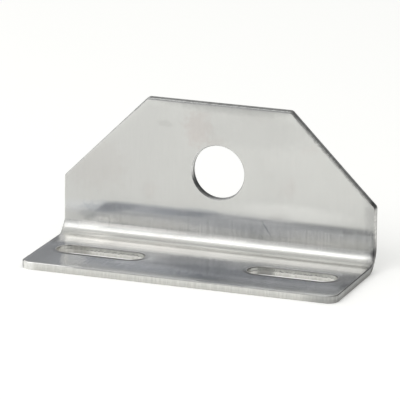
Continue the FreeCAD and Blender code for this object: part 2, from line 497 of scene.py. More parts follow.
    def build(self, finishes: list[bpy.types.Material]) -> bpy.types.Object:
        """Make the bracket and hang its finishes on it.

        Args:
            finishes: One material for each zone, in the order of the zones.

        Returns:
            The finished piece, which stands for the CAD node.
        """
        for step in (self.outline, self.turn_rim, self.close, self.cut_patches, self.sink_edges,
                     self.bm.normal_update, self.set_zones, self.lay_coordinates, self.fold,
                     self.bm.normal_update):
            step()
        mesh = bpy.data.meshes.new("folded_sheet")
        self.bm.to_mesh(mesh)
        self.bm.free()
        for material in finishes:
            mesh.materials.append(material)
        piece = bpy.data.objects.new("folded_sheet", mesh)
        bpy.context.scene.collection.objects.link(piece)
        weighted = piece.modifiers.new("even_faces", "WEIGHTED_NORMAL")
        weighted.mode = "FACE_AREA_WITH_ANGLE"
        weighted.weight = 100
        weighted.keep_sharp = False
        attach(piece, BODY)
        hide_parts(NODE)
        return piece


@dataclass(frozen=True)
class Pattern:
    """A noise, and the passage between two of its values that makes a mask of it."""

    scale: float
    detail: float
    roughness: float
    passage: Passage


@dataclass
class Graph:
    """A node tree with short ways to add the nodes that the finishes are made of."""

    tree: bpy.types.NodeTree

    def node(self, kind: str, inputs: dict | None = None, **settings: object) -> bpy.types.Node:
        """Add a node.

        Args:
            kind: The node's type, without its ShaderNode prefix.
            inputs: A value or a socket to link for each named or numbered input.
            settings: Properties of the node.

        Returns:
            The new node.
        """
        node = self.tree.nodes.new("ShaderNode" + kind)
        for name, value in settings.items():
            setattr(node, name, value)
        for name, value in (inputs or {}).items():
            self.feed(node.inputs[name], value)
        return node

    def feed(self, target: Socket, value: object) -> None:
        """Feed one input.

        Args:
            target: The input.
            value: A socket to link to it, or the input's own value.
        """
        if isinstance(value, Socket):
            self.tree.links.new(value, target)
        else:
            target.default_value = value

    def math(self, operation: str, *values: object, clamp: bool = False) -> Socket:
        """Combine values by one operation of the Math node."""
        inputs = dict(enumerate(values))
        return self.node("Math", inputs, operation=operation, use_clamp=clamp).outputs["Value"]

    def times(self, first: object, second: object) -> Socket:
        """Multiply two values."""
        return self.math("MULTIPLY", first, second)

    def less(self, first: object, second: object) -> Socket:
        """Take the second value from the first."""
        return self.math("SUBTRACT", first, second)

    def line(self, value: object, slope: object, start: object) -> Socket:
        """Multiply a value by a slope and add a start."""
        return self.math("MULTIPLY_ADD", value, slope, start)

    def vector(self, operation: str, first: object, second: object) -> Socket:
        """Combine two vectors by one operation of the Vector Math node."""
        node = self.node("VectorMath", {0: first, 1: second}, operation=operation)
        return node.outputs["Vector"]

    def ramp(self, value: object, low: object, high: object, to_low: object = 0.0,
             to_high: object = 1.0) -> Socket:
        """Turn a value into a smooth passage.

        Args:
            value: The value.
            low: Where the passage starts.
            high: Where it ends.
            to_low: What it gives up to its start.
            to_high: What it gives from its end on.

        Returns:
            The passage's value.
        """
        inputs = {"Value": value, "From Min": low, "From Max": high,
                  "To Min": to_low, "To Max": to_high}
        return self.node("MapRange", inputs, interpolation_type="SMOOTHSTEP").outputs["Result"]

    def noise(self, place: object, scale: object = 1.0, detail: float = 2.0,
              roughness: float = 0.5) -> Socket:
        """Add a noise pattern and return its value."""
        inputs = {"Vector": place, "Scale": scale, "Detail": detail, "Roughness": roughness}
        return self.node("TexNoise", inputs).outputs["Fac"]

    def pattern(self, place: object, kind: Pattern) -> Socket:
        """Add a noise pattern and turn its value into a mask."""
        return self.ramp(self.noise(place, kind.scale, kind.detail, kind.roughness), *kind.passage)

    def mix(self, share: object, first: Socket | Tone, second: Socket | Tone) -> Socket:
        """Mix two colours.

        Args:
            share: How much there is of the second colour, from 0 to 1.
            first: The first colour.
            second: The second colour.

        Returns:
            The mixed colour.
        """
        node = self.node("Mix", data_type="RGBA")
        sockets = {item.identifier: item for item in (*node.inputs, *node.outputs)}
        self.feed(sockets["Factor_Float"], share)
        for name, color in (("A_Color", first), ("B_Color", second)):
            self.feed(sockets[name], color if isinstance(color, Socket) else (*color, 1.0))
        return sockets["Result_Color"]

    def scaled(self, color: Socket, factor: object) -> Socket:
        """Multiply a colour by one value."""
        node = self.node("VectorMath", {"Vector": color, "Scale": factor}, operation="SCALE")
        return node.outputs["Vector"]

    def stretched(self, place: Socket, per_mm: object, length: object) -> Socket:
        """Stretch a place for a pattern of long, thin lines across the fold.

        Args:
            place: Place on the blank.
            per_mm: Lines in a millimetre.
            length: Length of a line.

        Returns:
            The place in the pattern's own units.
        """
        along = self.math("DIVIDE", 1.0, length)
        scale = self.node("CombineXYZ", {"X": per_mm, "Y": along, "Z": 1.0})
        return self.vector("MULTIPLY", place, scale.outputs["Vector"])

    def turned(self, place: Socket, angle: object, centre: object = (0.0, 0.0, 0.0)) -> Socket:
        """Turn a place on the blank about a centre."""
        inputs = {"Vector": place, "Center": centre, "Angle": angle}
        return self.node("VectorRotate", inputs, rotation_type="Z_AXIS").outputs["Vector"]


@dataclass
class SheetGraph(Graph):
    """A finish's node tree, with what it reads of the sheet's mesh.

    The place is on the flat blank, in millimetres, and so are the distances to the outline's
    edge and to the nearest opening. The level is the share of the thickness, from 0 outside
    the fold to 1 inside it, and the rim is the share of a rim's turn towards the cut.
    """

    place: Socket = field(init=False)
    level: Socket = field(init=False)
    rim: Socket = field(init=False)
    edge: Socket = field(init=False)
    opening: Socket = field(init=False)

    def __post_init__(self) -> None:
        """Read the mesh's data, and put the level into the place as its depth."""
        self.level, self.rim, self.edge, self.opening = (
            self.node("Attribute", attribute_name=name.value).outputs["Fac"]
            for name in (Attribute.LEVEL, Attribute.RIM, Attribute.EDGE, Attribute.OPENING))
        blank = self.node("UVMap", uv_map=Attribute.BLANK.value).outputs["UV"]
        unit = BLANK_UNIT / MM
        flat = self.vector("MULTIPLY", blank, (unit, unit, 0.0))
        depth = self.node("CombineXYZ", {"Z": self.times(self.level, THICKNESS_MM)})
        self.place = self.vector("ADD", flat, depth.outputs["Vector"])


class Effect(Graph):
    """A shader node group that several finishes share, built once."""

    title = ""
    takes: tuple[str, ...] = ()
    gives: tuple[str, ...] = ("mask",)
    vectors = ("place", "centre", "reach")

    @classmethod
    def on(cls, graph: Graph, **inputs: object) -> Sockets:
        """Place the group in a material, feed its inputs, and return its outputs."""
        tree = bpy.data.node_groups.get(cls.title) or cls.make()
        return graph.node("Group", inputs, node_tree=tree).outputs

    @classmethod
    def make(cls) -> bpy.types.NodeTree:
        """Build the group.

        Returns:
            The group's tree.
        """
        tree = bpy.data.node_groups.new(cls.title, "ShaderNodeTree")
        for direction, names in (("INPUT", cls.takes), ("OUTPUT", cls.gives)):
            for name in names:
                kind = "NodeSocketVector" if name in cls.vectors else "NodeSocketFloat"
                tree.interface.new_socket(name, in_out=direction, socket_type=kind)
        end = tree.nodes.new("NodeGroupOutput")
        for name, result in zip(cls.gives, cls(tree).draw()):
            tree.links.new(result, end.inputs[name])
        return tree

    def given(self) -> list[Socket]:
        """Add the group's input node and list what the group takes."""
        return self.tree.nodes.new("NodeGroupInput").outputs[:len(self.takes)]

    def peaks(self, noise: Socket, cover: Socket, cut: float, drop: float, blur: float) -> Socket:
        """Keep the peaks of a noise.

        Args:
            noise: The noise.
            cover: How much cover is wanted, from 0 to 1.
            cut: Where the noise is cut at no cover.
            drop: How much lower it is cut at full cover.
            blur: How far above the cut a peak shows in full.

        Returns:
            The peaks' mask.
        """
        edge = self.less(cut, self.times(cover, drop))
        return self.ramp(noise, edge, self.math("ADD", edge, blur))

    def draw(self) -> tuple[Socket, ...]:
        """Draw the group's nodes.

        Returns:
            What the group gives, in its order.
        """
        raise NotImplementedError


class RolledGrain(Effect):
    """Fine lines that rolling leaves along the sheet, with softer and stronger stretches."""

    title = "rolled_grain"
    takes = ("place", "per_mm", "length", "haze", "streaks")
    gives = ("lines", "dull")
    fine = Pattern(1.0, 3.0, 0.6, (0.36, 0.66))
    speckle_scale = (22.0, 5.0, 1.0)
    dull_weight = 0.36
    dull_passage = (0.46, 0.54)

    def draw(self) -> tuple[Socket, ...]:
        """Stretch noise across the fold at two widths, and dull the wanted share of the finer.

        Returns:
            The lines, and where the face is dull.
        """
        place, per_mm, length, haze, streaks = self.given()
        lines = self.pattern(self.stretched(place, per_mm, length), self.fine)
        share = self.line(self.less(lines, 0.5), streaks, haze)
        speckle = self.noise(self.vector("MULTIPLY", place, self.speckle_scale), detail=1.0)
        shift = self.line(self.less(share, 0.5), self.dull_weight, speckle)
        return lines, self.ramp(shift, *self.dull_passage)


class Smudges(Effect):
    """Soft cloudy marks of handling."""

    title = "smudges"
    takes = ("place", "size", "cover")
    gives = ("clouds", "tint")
    tint_shift = (37.0, 11.0, 5.0)
    tint_passage = (0.42, 0.62)

    def draw(self) -> tuple[Socket, ...]:
        """Cut clouds out of noise at the wanted cover.

        Returns:
            Where the clouds are, and which of two tints they have.
        """
        place, size, cover = self.given()
        scale = self.math("DIVIDE", 1.0, size)
        clouds = self.noise(place, scale, detail=4.0, roughness=0.62)
        aside = self.vector("ADD", place, self.tint_shift)
        return (self.peaks(clouds, cover, cut=0.72, drop=0.34, blur=0.2),
                self.ramp(self.noise(aside, scale), *self.tint_passage))


class Scratches(Effect):
    """Sparse hairline scratches, all roughly one way."""

    title = "scratches"
    takes = ("place", "angle", "length", "per_mm", "cover")

    def draw(self) -> tuple[Socket, ...]:
        """Keep the narrow peaks of a turned, stretched noise.

        Returns:
            Where the scratches are.
        """
        place, angle, length, per_mm, cover = self.given()
        place = self.stretched(self.turned(place, angle), per_mm, length)
        lines = self.noise(place, detail=1.0, roughness=0.4)
        return (self.peaks(lines, cover, cut=0.86, drop=0.3, blur=0.05),)


class RimDarkening(Effect):
    """A broken-up mask where the face turns over to a cut, where the finish darkens the rim."""

    title = "rim_darkening"
    takes = ("rim", "place", "amount")
    gaps = Pattern(1.3, 3.0, 0.6, (0.3, 0.7, 0.75, 1.0))
    begins = (0.0, 0.06)
    ends = (0.85, 0.98, 1.0, 0.0)

    def draw(self) -> tuple[Socket, ...]:
        """Break up the rim by a fine noise.

        Returns:
            Where the rim is darkened.
        """
        rim, place, amount = self.given()
        broken = self.pattern(place, self.gaps)
        turned = self.times(self.ramp(rim, *self.begins), self.ramp(rim, *self.ends))
        return (self.math("MULTIPLY", self.times(turned, broken), amount, clamp=True),)


class Stripe(Effect):
    """A stripe across the blank that fades out on both sides."""

    title = "stripe"
    takes = ("across", "start", "end", "fade")

    def draw(self) -> tuple[Socket, ...]:
        """Multiply a rise by a fall.

        Returns:
            Where the stripe is.
        """
        across, start, end, fade = self.given()
        rise = self.ramp(across, self.less(start, fade), start)
        fall = self.ramp(across, end, self.math("ADD", end, fade), 1.0, 0.0)
        return (self.times(rise, fall),)


class Blotch(Effect):
    """One mark at a given place: an ellipse with a soft and ragged border."""

    title = "blotch"
    takes = ("place", "centre", "reach", "angle", "ragged")
    border = (0.45, 1.15, 1.0, 0.0)

    def draw(self) -> tuple[Socket, ...]:
        """Measure from the centre in shares of the reach, and shift that by noise.

        Returns:
            Where the mark is.
        """
        place, centre, reach, angle, ragged = self.given()
        out = self.vector("SUBTRACT", self.turned(place, angle, centre), centre)
        out = self.vector("DIVIDE", out, reach)
        away = self.node("VectorMath", {0: out}, operation="LENGTH").outputs["Value"]
        noise = self.less(self.noise(place, scale=0.55, detail=4.0, roughness=0.6), 0.5)
        return (self.ramp(self.line(noise, ragged, away), *self.border),)


@dataclass(frozen=True)
class Mark:
    """Where one blotch lies on the blank, in millimetres, and how it tints the steel. Most blotches
    are painted highlights, painted reflections and painted shade; a few are stains and smudges.

    Its tone is a grey or a colour, and its angle is in radians. A mark without a level of its
    own takes its finish's.
    """

    along: float
    across: float
    long: float
    wide: float
    tone: float | Tone
    share: float
    ragged: float = 0.3
    angle: float = 0.0
    above: Level | None = None


# Tones of painted light: a painted glint, a pale painted reflection and a cool, dark painted
# reflection.
PAINTED_GLINT = (1.0, 0.98, 0.95)
PAINTED_PALE_REFLECTION = (0.92, 0.91, 0.89)
PAINTED_COOL_REFLECTION = (0.34, 0.36, 0.39)

# Each finish's marks, in the order in which they are laid. Most are painted highlights, painted
# reflections and painted shade; a few on the leg are stains and smudges.
FACE_MARKS = (
    # Painted reflection: a cool, dark band across the leg just above the fold.
    Mark(0, 53, 80, 4, (0.6, 0.61, 0.645), 0.5),
    # Painted reflection: the flange darker at its left end.
    Mark(-57, 12, 9, 15, 0.44, 0.45, 0.4),
    # Stains and smudges on the leg, and a thin dark line.
    Mark(-8, 87, 6, 7.5, (0.55, 0.49, 0.47), 0.42, 1.6),
    Mark(-48, 70, 15, 11, (0.51, 0.48, 0.46), 0.22, 1.4),
    Mark(-20.5, 87.8, 3.4, 1.5, (0.42, 0.42, 0.4), 0.25, 1.6),
    Mark(18.9, 52.2, 0.3, 3.4, (0.22, 0.24, 0.27), 0.75, 0.3, -0.6),
    # Painted shade: the leg darker under its top edge.
    Mark(5, 96.5, 30, 3.2, (0.4, 0.4, 0.39), 0.6, 0.5),
    Mark(12, 89, 30, 9, (0.48, 0.48, 0.47), 0.25, 0.8),
    # Painted reflections on the flange: darker towards the slots and at its right end, lighter at
    # its front, and a pale streak that mirrors the leg's left edge.
    Mark(12, 11, 20, 8, (0.3, 0.32, 0.35), 0.42, 0.6),
    Mark(22, 14.6, 48, 5.2, (0.19, 0.2, 0.22), 0.64, 0.4),
    Mark(-20, 8, 32, 7.5, (0.95, 0.96, 0.97), 0.4, 0.4),
    Mark(54, 4.5, 11, 7.5, 0.8, 0.34, 0.4),
    Mark(58, 20, 6.2, 10, (0.14, 0.14, 0.15), 0.72, 0.6),
    Mark(-42, 8.5, 5, 12, PAINTED_PALE_REFLECTION, 0.66, 0.3, -0.35),
    Mark(-45.6, 7.5, 1.7, 9, (1, 0.98, 0.94), 0.8, 0.3, -0.35),
    # Painted reflection: more of the dark band across the leg, and painted shade down the leg's
    # right edge.
    Mark(50, 54, 2.8, 1, 0.32, 0.4, 1.2),
    Mark(56.5, 54.2, 4.5, 0.7, 0.3, 0.35, 1.2),
    Mark(60.2, 50.5, 1.6, 8, 0.12, 0.32, 0.5),
    Mark(-28, 55, 23, 1.9, (0.36, 0.38, 0.41), 0.5, 0.9),
    Mark(-46, 53.2, 9, 1.7, PAINTED_COOL_REFLECTION, 0.5, 0.9),
    Mark(-6, 56, 9, 1.5, PAINTED_COOL_REFLECTION, 0.4, 0.9),
    # Painted highlights: the fold's bright line and its pale glow, with painted shade that trims
    # the line at its right end.
    Mark(-24, 49.8, 24, 2.6, PAINTED_PALE_REFLECTION, 0.42, 0.9),
    Mark(-31, 46.8, 27, 1, PAINTED_GLINT, 0.75, 0.4),
    Mark(54, 45.8, 15, 0.8, 0.3, 0.36),
    Mark(14, 46.8, 34, 0.7, PAINTED_GLINT, 0.36, 0.4),
    Mark(0, 49.2, 14, 2.4, PAINTED_PALE_REFLECTION, 0.34, 0.9),
    Mark(-45, 48.8, 6, 1.4, PAINTED_PALE_REFLECTION, 0.45, 0.9),
    # Painted reflections, highlights and shade on the fold and on the flange before it: pale bands,
    # a near-white left corner, darker lines beside them, a painted shadow behind the right slot,
    # and more of the fold's bright line.
    Mark(-46, 41.6, 9, 1.4, (0.92, 0.9, 0.86), 0.45, 0.5),
    Mark(-25, 38.6, 50, 1.1, (0.96, 0.94, 0.92), 0.5),
    Mark(40, 41.8, 46, 1.9, (0.3, 0.3, 0.29), 0.26),
    Mark(0, 40.7, 80, 1.3, (0.3, 0.3, 0.29), 0.24),
    Mark(36, 29.4, 48, 2.4, 0.24, 0.5, 0.5),
    Mark(-57.5, 33.6, 7.5, 6.6, (1, 0.985, 0.95), 0.95),
    Mark(-46, 35, 9, 6, (0.98, 0.965, 0.93), 0.4),
    Mark(-60.2, 34, 2.4, 10, 0.3, 0.85, 0.2, -0.35),
    Mark(-20, 27.8, 36, 1.9, 0.34, 0.24),
    Mark(-22, 30.3, 26, 1.3, 0.36, 0.2),
    Mark(0, 43.9, 90, 0.9, (1, 0.98, 0.96), 0.14),
    Mark(-50.5, 50.6, 4.4, 2.2, (0.36, 0.37, 0.38), 0.45, 0.8),
    Mark(58, 28, 5, 3, 0.3, 0.35),
    Mark(-49, 46.6, 6.5, 1.6, PAINTED_GLINT, 0.4),
    Mark(4, 46.3, 11, 1, PAINTED_GLINT, 0.4, 0.4),
    Mark(36, 48.5, 19, 1.3, PAINTED_GLINT, 0.3, 0.5),
    Mark(59.2, 45.3, 3, 1.2, 0.3, 0.35),
    Mark(-58.4, 31, 1.8, 4, 0.36, 0.55, 0.2, -0.35),
    # Darker stretches along the flange's front edge and on the right slot's near rim.
    Mark(48, 0.8, 20, 2, 0.3, 0.24, 0.5),
    Mark(-54, 1.2, 9, 1.8, 0.3, 0.26, 0.5),
    Mark(36, 15.6, 15, 0.9, (0.18, 0.18, 0.19), 0.5),
    # Painted shade down the leg's right edge and under its top edge, and a painted highlight along
    # the top edge.
    Mark(58.6, 66, 3.4, 8, 0.3, 0.15, 0.5),
    Mark(4, 96.8, 36, 1.7, 0.34, 0.42, 0.4),
    Mark(0, 96.9, 40, 0.75, (1, 1, 0.98), 0.9, 0.2),
    # Painted reflection: more of the dark band across the leg, and the lighter face beside it.
    Mark(-10, 54.5, 6, 1.2, PAINTED_COOL_REFLECTION, 0.25, 0.9),
    Mark(16, 54.9, 20, 1.7, (0.92, 0.91, 0.9), 0.4, 0.6),
    Mark(38, 51, 24, 2.6, PAINTED_PALE_REFLECTION, 0.36, 0.8),
    Mark(28, 58.8, 26, 4, (0.84, 0.84, 0.82), 0.35, 0.5),
    # Painted shade at the fold's right end.
    Mark(60.5, 42, 4.5, 7, 0.3, 0.5, 0.8),
    # Darker beside the right slot's left end.
    Mark(17.2, 21, 2, 4.5, 0.24, 0.25, 0.9),
    # Painted reflection: the flange darker between the slots.
    Mark(0, 21.4, 18, 7.6, (0.17, 0.18, 0.2), 0.62, 0.5),
    # Painted shade at the fold's right end and down the leg's right edge.
    Mark(60.5, 47, 4.5, 1.8, 0.3, 0.5, 0.8),
    Mark(60.3, 46.2, 2, 3.4, 0.1, 0.75, 0.4),
    Mark(60.5, 60, 5, 9, 0.32, 0.35, 0.8),
)
SLIT_EDGE_MARKS = (
    # Painted highlights at the front edge's left corner and along its upper rim on the left, and
    # painted shade at its right end.
    Mark(-57.2, 0, 3.4, 6, (0.88, 0.875, 0.85), 0.8),
    Mark(-52, 0, 14, 3, (0.95, 0.94, 0.92), 0.65, 0.8, above=Level.INNER_RIM),
    Mark(61, 0, 14, 8, (0.38, 0.38, 0.37), 0.85, 0.2),
)
SHEARED_EDGE_MARKS = (
    # Painted light and painted shade on the other cut edges: the flange's right end, the leg's
    # right wall, the right chamfer, the top edge and the left walls lighter; dark spots and a
    # darker inner rim at the fold's right end; the top wall darker above; a painted glint along the
    # left walls' inner rim.
    Mark(60, 0, 9, 14, (0.37, 0.37, 0.36), 0.9, 0.2),
    Mark(46, 82, 22, 26, (0.44, 0.44, 0.43), 0.85, 0.2),
    Mark(60, 65.5, 2.4, 2.4, 0.06, 0.85),
    Mark(60, 57.5, 6, 7.5, (0.62, 0.62, 0.6), 0.9, 0.2),
    Mark(60, 50.5, 6, 7, 0.22, 0.65, 0.4, above=Level.INNER_RIM),
    Mark(60, 47.2, 6, 2, 0.06, 0.85, 0.2),
    Mark(60, 41.2, 6, 1.6, 0.14, 0.5, 0.2),
    Mark(0, 97, 33, 3, (0.44, 0.44, 0.43), 0.8),
    Mark(8, 97, 30, 3, (0.28, 0.28, 0.275), 0.75, above=Level.UPPER_WALL),
    Mark(-64, 84, 40, 60, (0.42, 0.42, 0.41), 1, 0.1),
    Mark(-64, 84, 40, 60, (0.74, 0.74, 0.71), 0.85, 0.1, above=Level.INNER_RIM),
)
HOLE_WALL_MARKS = (
    # Painted light: the hole's dark wall made lighter on its right, and in patches on its left,
    # most of all in the upper half there.
    Mark(14, 82, 26, 24, (0.64, 0.64, 0.62), 1, 0.1),
    Mark(-13, 76, 8, 8, (0.5, 0.5, 0.49), 0.6, 0.1),
    Mark(-11, 76.5, 7.5, 8.5, (0.86, 0.86, 0.84), 0.9, 0.1, above=Level.UPPER_WALL),
    Mark(2, 59.5, 6, 5, (0.5, 0.5, 0.49), 0.6, 0.1),
)
SLOT_WALL_MARKS = (
    # A painted highlight at the left slot's left end.
    Mark(-54, 21.5, 4.5, 6, (0.64, 0.63, 0.6), 0.8, 0.4),
    # The near rim darkened along both slots.
    Mark(0, 15.9, 80, 0.8, 0.03, 0.85, above=Level.INNER_RIM),
    # Painted shade near the left ends of both slots' walls.
    Mark(-46.5, 26, 4.5, 5, (0.3, 0.29, 0.27), 0.55, 0.5),
    Mark(25, 26, 3.6, 8, (0.28, 0.28, 0.27), 0.75, 0.5),
)


@dataclass(frozen=True)
class Finish:
    """What every finish has: a name, a steel tone, and marks above a level of the sheet."""

    name: str
    tone: Tone
    marks: tuple[Mark, ...]
    above = Level.EVERY

    def build(self) -> bpy.types.Material:
        """Make the material: bare metal, with its pattern drawn by the finish.

        Returns:
            The material.
        """
        material = bpy.data.materials.new(self.name)
        material.use_nodes = True
        shader = material.node_tree.nodes["Principled BSDF"]
        shader.inputs["Metallic"].default_value = 1.0
        self.dress(SheetGraph(material.node_tree), shader)
        return material

    def dress(self, graph: SheetGraph, shader: bpy.types.Node) -> None:
        """Draw the finish's own pattern.

        Args:
            graph: The material's tree.
            shader: The material's shader.
        """
        raise NotImplementedError

    def marked(self, graph: SheetGraph, color: Socket) -> Socket:
        """Lay the finish's marks over a colour, in their order.

        Args:
            graph: The material's tree.
            color: The colour.

        Returns:
            The tinted colour.
        """
        any_depth, fade = 100.0, 0.2
        for mark in self.marks:
            mask = Blotch.on(graph, place=graph.place, angle=mark.angle, ragged=mark.ragged,
                             centre=(mark.along, mark.across, THICKNESS_MM),
                             reach=(mark.long, mark.wide, any_depth))["mask"]
            level = (mark.above or self.above).value
            height = graph.ramp(graph.level, level, level + fade)
            tone = mark.tone if isinstance(mark.tone, tuple) else (mark.tone,) * 3
            color = graph.mix(graph.times(graph.times(mask, mark.share), height), color, tone)
        return color

    @staticmethod
    def emboss(graph: SheetGraph, shader: bpy.types.Node, height: Socket, scale: float) -> None:
        """Let a height, in units of the given number of metres, turn the shader's normal."""
        bump = graph.node("Bump", {"Strength": 1.0, "Distance": scale, "Height": height})
        graph.feed(shader.inputs["Normal"], bump.outputs["Normal"])


@dataclass(frozen=True)
class RolledFace(Finish):
    """The sheet's own face: bright rolled steel with fine grain, smudges and scratches, under
    painted reflections, painted highlights and painted shade.
    """

    above = Level.INNER_FACE
    # Painted reflection: the flange darker and cooler than the leg, and lighter towards its left
    # end. The leg is a little darker towards its left end.
    leg_left: Tone = (0.572, 0.572, 0.557)
    flange_left: Tone = (0.585, 0.59, 0.60)
    flange_right: Tone = (0.43, 0.44, 0.455)
    smudge_tone: Tone = (0.50, 0.49, 0.47)
    blush_tone: Tone = (0.56, 0.50, 0.48)
    # Tones of the pale stripe before the fold, partly burnish and partly painted reflection of the
    # fold's bright line.
    burnish_and_reflection_left: Tone = (0.71, 0.70, 0.68)
    burnish_and_reflection_right: Tone = (0.615, 0.61, 0.595)
    # Tone of a dark, broken fringe round the slots and along the leg's right edges.
    dark_fringe_tone: Tone = (0.09, 0.09, 0.09)
    roughness: float = 0.09
    dull_roughness: float = 0.47
    flange_haze: Pair = (0.20, 0.03)
    foot_haze: float = 0.72
    leg_haze: Pair = (0.14, 0.34)
    foot_slant: float = -1.7
    side: Pair = (-38.0, 16.0)
    flange_to: Pair = (26.0, 32.0)
    foot_from: Pair = (40.0, 46.0)
    foot_to: Pair = (51.0, 54.2)
    streaks: float = 0.15
    streaks_to: Pair = (51.0, 59.2)
    press_mark: Pair = (30.5, 42.5)
    # Where the pale stripe before the fold lies: partly burnish, partly painted reflection of the
    # fold's bright line.
    burnish_and_reflection: Pair = (32.0, 38.0)
    press_run: Pair = (31.0, 39.0)
    press_rise: float = 0.0004
    press_roughness: float = 0.13
    relief: float = 0.0000008
    contrast: Pair = (0.035, 0.15)
    patches: Pattern = Pattern(1.0 / 24.0, 4.0, 0.55, (0.34, 0.66, -0.5, 0.5))
    line_share: float = 0.45
    smudge_share: float = 0.30
    outer_smudges: float = 0.20
    soiled_roughness: float = 0.15
    scratch_share: float = 0.18
    scratch_depth: float = 0.6
    dark_fringe_share: float = 0.80
    dark_fringe_gaps: Pattern = Pattern(2.2, 4.0, 0.65, (0.36, 0.62, 0.15, 1.0))
    dark_fringe_bend: Pair = (30.0, 36.0)
    slots_behind: Passage = (17.0, 21.0, 1.2, 0.30)
    slots_left: Passage = (-52.0, -46.0, 0.35, 1.0)
    slot_fringe: Passage = (1.2, 2.2, 1.0, 0.0)
    fringe_from: Pair = (-26.0, 2.0)
    fringe_top: Passage = (93.5, 95.5, 1.0, 0.10)
    fringe_start: float = 0.3
    fringe_reach: Pair = (0.5, 1.5)
    faint_fringe: Pair = (50.0, 65.0)
    fringe_share: Pair = (0.8, 0.1)

    def dress(self, graph: SheetGraph, shader: bpy.types.Node) -> None:
        """Lay grain, smudges, scratches, the press mark, a dark fringe, the pale stripe before the
        fold and the marks over the steel. The stripe is partly burnish and partly painted
        reflection, the flange's own tones are painted reflection, and the marks are mostly painted
        highlights, reflections and shade.

        Args:
            graph: The material's tree.
            shader: The material's shader.
        """
        parts = graph.node("SeparateXYZ", {"Vector": graph.place}).outputs
        along, across = parts["X"], parts["Y"]
        right = graph.ramp(along, *self.side)
        outer = graph.ramp(graph.level, *MIDDLE, 1.0, 0.0)
        press = self.stripe(graph, across, self.press_mark, fade=4.0)
        burnish_and_reflection = self.stripe(graph, across, self.burnish_and_reflection, fade=3.0)
        streaks = graph.ramp(across, *self.streaks_to, self.streaks, 0.0)
        lines, dull = RolledGrain.on(graph, place=graph.place, per_mm=1.5, length=14.0,
                                     haze=self.haze(graph, right, across), streaks=streaks)
        clouds, tint = Smudges.on(graph, place=graph.place, size=17.0, cover=0.55)
        scratches = Scratches.on(graph, place=graph.place, angle=0.5, length=9.0, per_mm=2.2,
                                 cover=0.35)["mask"]
        dark_fringe = self.dark_fringe(graph, along, across)
        soft = graph.times(clouds, graph.line(outer, self.outer_smudges, self.smudge_share))
        past_flange = graph.ramp(across, *self.flange_to)
        # Painted reflection: the flange darker and cooler than the leg, lighter towards its left
        # end.
        color = graph.mix(past_flange, graph.mix(right, self.flange_left, self.flange_right),
                          graph.mix(right, self.leg_left, self.tone))
        cloud = graph.mix(tint, self.smudge_tone, self.blush_tone)
        color = graph.mix(graph.times(soft, past_flange), color, cloud)
        color = graph.mix(graph.times(scratches, self.scratch_share), color, self.smudge_tone)
        # The pale stripe before the fold is partly burnish and partly painted reflection; the marks
        # laid next are mostly painted highlights, reflections and shade.
        burnish_and_reflection_tone = graph.mix(right, self.burnish_and_reflection_left, self.burnish_and_reflection_right)
        color = self.marked(graph, graph.mix(burnish_and_reflection, color, burnish_and_reflection_tone))
        color = self.shade(graph, outer, lines, graph.mix(dark_fringe, color, self.dark_fringe_tone))
        graph.feed(shader.inputs["Base Color"], color)
        rough = graph.ramp(dull, 0.0, 1.0, self.roughness, self.dull_roughness)
        rough = graph.line(press, self.press_roughness, rough)
        rough = graph.line(graph.math("ADD", soft, dark_fringe), self.soiled_roughness, rough)
        graph.feed(shader.inputs["Roughness"], rough)
        height = graph.line(scratches, -self.scratch_depth, lines)
        height = graph.times(height, graph.less(1.0, press))
        run = graph.ramp(across, *self.press_run, 0.0, self.press_rise)
        height = graph.line(run, graph.level, graph.times(height, self.relief))
        self.emboss(graph, shader, height, 1.0)

    @staticmethod
    def stripe(graph: SheetGraph, across: Socket, ends: Pair, fade: float) -> Socket:
        """Draw a stripe across the blank between two lines, with a fade beyond each."""
        return Stripe.on(graph, across=across, start=ends[0], end=ends[1], fade=fade)["mask"]

    @staticmethod
    def between(graph: SheetGraph, share: Socket, ends: Pair) -> Socket:
        """Pass evenly from one value at a share of 0 to another at a share of 1."""
        return graph.line(share, ends[1] - ends[0], ends[0])

    def haze(self, graph: SheetGraph, right: Socket, across: Socket) -> Socket:
        """Spread the dull share of the face over flange, foot and leg.

        Args:
            graph: The material's tree.
            right: 0 at the left end of the fold and 1 at its right end.
            across: Place across the fold.

        Returns:
            The dull share.
        """
        flange = graph.less(1.0, graph.ramp(across, *self.foot_from))
        leg = graph.ramp(graph.line(right, self.foot_slant, across), *self.foot_to)
        foot = graph.less(graph.less(1.0, flange), leg)
        haze = graph.times(foot, self.foot_haze)
        for zone, ends in ((flange, self.flange_haze), (leg, self.leg_haze)):
            haze = graph.line(zone, self.between(graph, right, ends), haze)
        return haze

    def shade(self, graph: SheetGraph, outer: Socket, lines: Socket, color: Socket) -> Socket:
        """Shade the face by its fine lines and by broad, soft patches, more so outside the fold.

        Args:
            graph: The material's tree.
            outer: 1 on the outside of the fold and 0 inside it.
            lines: The grain's fine lines.
            color: The colour to shade.

        Returns:
            The shaded colour.
        """
        patches = graph.pattern(graph.place, self.patches)
        pattern = graph.line(graph.less(lines, 0.5), self.line_share, patches)
        depth = graph.ramp(outer, 0.0, 1.0, *self.contrast)
        return graph.scaled(color, graph.line(pattern, depth, 1.0))

